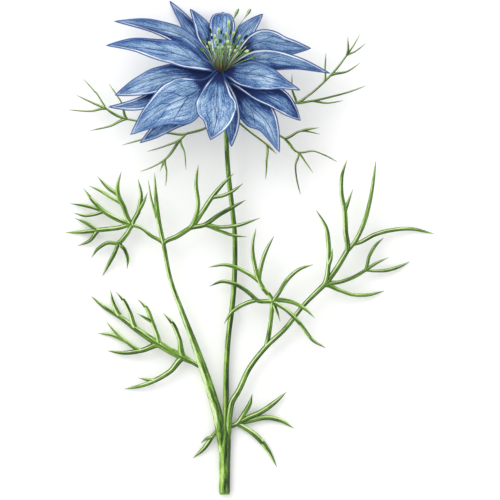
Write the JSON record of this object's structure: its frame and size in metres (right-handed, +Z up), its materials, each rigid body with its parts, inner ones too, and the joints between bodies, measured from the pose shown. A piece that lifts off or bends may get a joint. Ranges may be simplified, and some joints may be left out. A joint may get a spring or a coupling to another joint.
{
  "type": "cut love in a mist flower",
  "caption": "A cut stem of double love in a mist lying on its side: layered pointed blue petals, a fan of stamens, thread-like bracts and finely divided leaves.",
  "frame": {"origin": "middle of the bottom of the whole plant's box, on the surface that it lies on", "axes": "+Y along the stem from its cut end to the flower head, +Z up from the surface, +X to the right seen from above with the head away"},
  "size_m": [0.0884, 0.1184, 0.0281],
  "materials": {
    "stem": "satin",
    "leaf": "satin",
    "bract": "satin",
    "petal": "matte",
    "stamen": "matte",
    "pistil": "satin"
  },
  "bodies": {
    "root": {"bract_below": "bract", "bract_left": "bract", "bract_lower_left": "bract", "bract_lower_right": "bract", "bract_right": "bract", "leaf_base_left": "leaf", "leaf_base_right": "leaf", "leaf_left_lower": "leaf", "leaf_left_upper": "leaf", "leaf_right_middle": "leaf", "leaf_right_upper": "leaf", "petal_01": "petal", "petal_02": "petal", "petal_03": "petal", "petal_04": "petal", "petal_05": "petal", "petal_06": "petal", "petal_07": "petal", "petal_08": "petal", "petal_09": "petal", "petal_10": "petal", "petal_11": "petal", "petal_12": "petal", "petal_13": "petal", "petal_14": "petal", "petal_15": "petal", "petal_16": "petal", "petal_17": "petal", "pistil": "pistil", "stamen_01": "stamen", "stamen_02": "stamen", "stamen_03": "stamen", "stamen_04": "stamen", "stamen_05": "stamen", "stamen_06": "stamen", "stamen_07": "stamen", "stamen_08": "stamen", "stamen_09": "stamen", "stamen_10": "stamen", "stamen_11": "stamen", "stamen_12": "stamen", "stamen_13": "stamen", "stamen_14": "stamen", "stamen_15": "stamen", "stamen_16": "stamen", "stamen_17": "stamen", "stamen_18": "stamen", "stamen_19": "stamen", "stamen_20": "stamen", "stamen_21": "stamen", "stem": "stem"}
  },
  "joints": []
}
